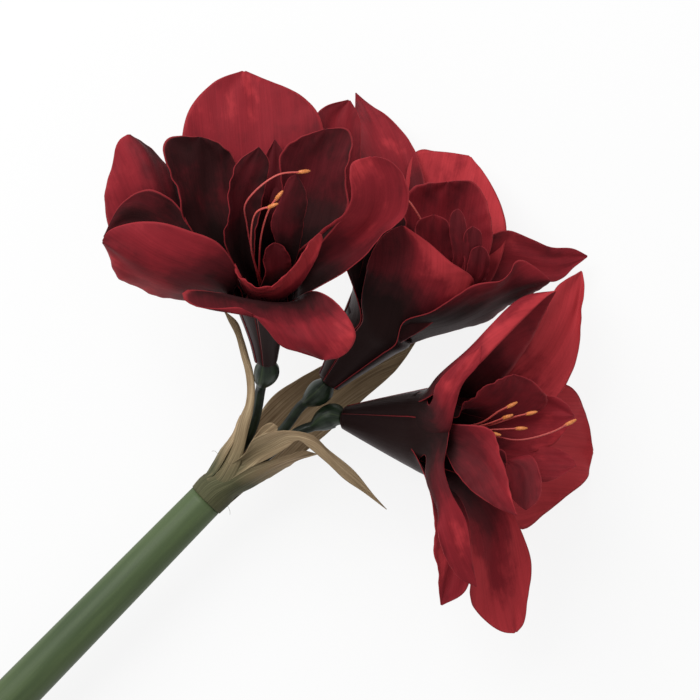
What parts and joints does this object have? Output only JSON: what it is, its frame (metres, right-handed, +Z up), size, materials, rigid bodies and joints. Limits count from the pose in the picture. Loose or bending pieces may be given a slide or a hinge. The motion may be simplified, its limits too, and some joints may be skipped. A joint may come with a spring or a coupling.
{
  "type": "cut amaryllis stem",
  "caption": "Cut flower stem lying on a surface: a thick green stem, papery bracts, flower stalks with ovaries and semi-double trumpet blooms with stamens.",
  "frame": {"origin": "The middle of the part's bounding box at its bottom, on the surface that the cut stem lies on.", "axes": "+X runs along the stem from its cut end to its blooms, +Y runs across it, and +Z is up."},
  "size_m": [0.6874, 0.3252, 0.1541],
  "materials": {
    "stem": "smooth satin green skin with soft lengthwise bands",
    "bract": "dry matte tan sheath with lengthwise fibres, olive at its base",
    "stalk": "dark green, glossy on the ovaries",
    "petal": "soft velvety dark red, near black in the throat",
    "stamen": "matte orange anthers on red-orange filaments"
  },
  "bodies": {
    "root": {"stem": "stem", "bract_back": "bract", "bract_front": "bract", "stalk_left": "stalk", "stalk_middle": "stalk", "stalk_right": "stalk", "bloom_left": "petal", "bloom_middle": "petal", "bloom_right": "petal", "stamens_left": "stamen", "stamens_middle": "stamen", "stamens_right": "stamen"}
  },
  "joints": []
}
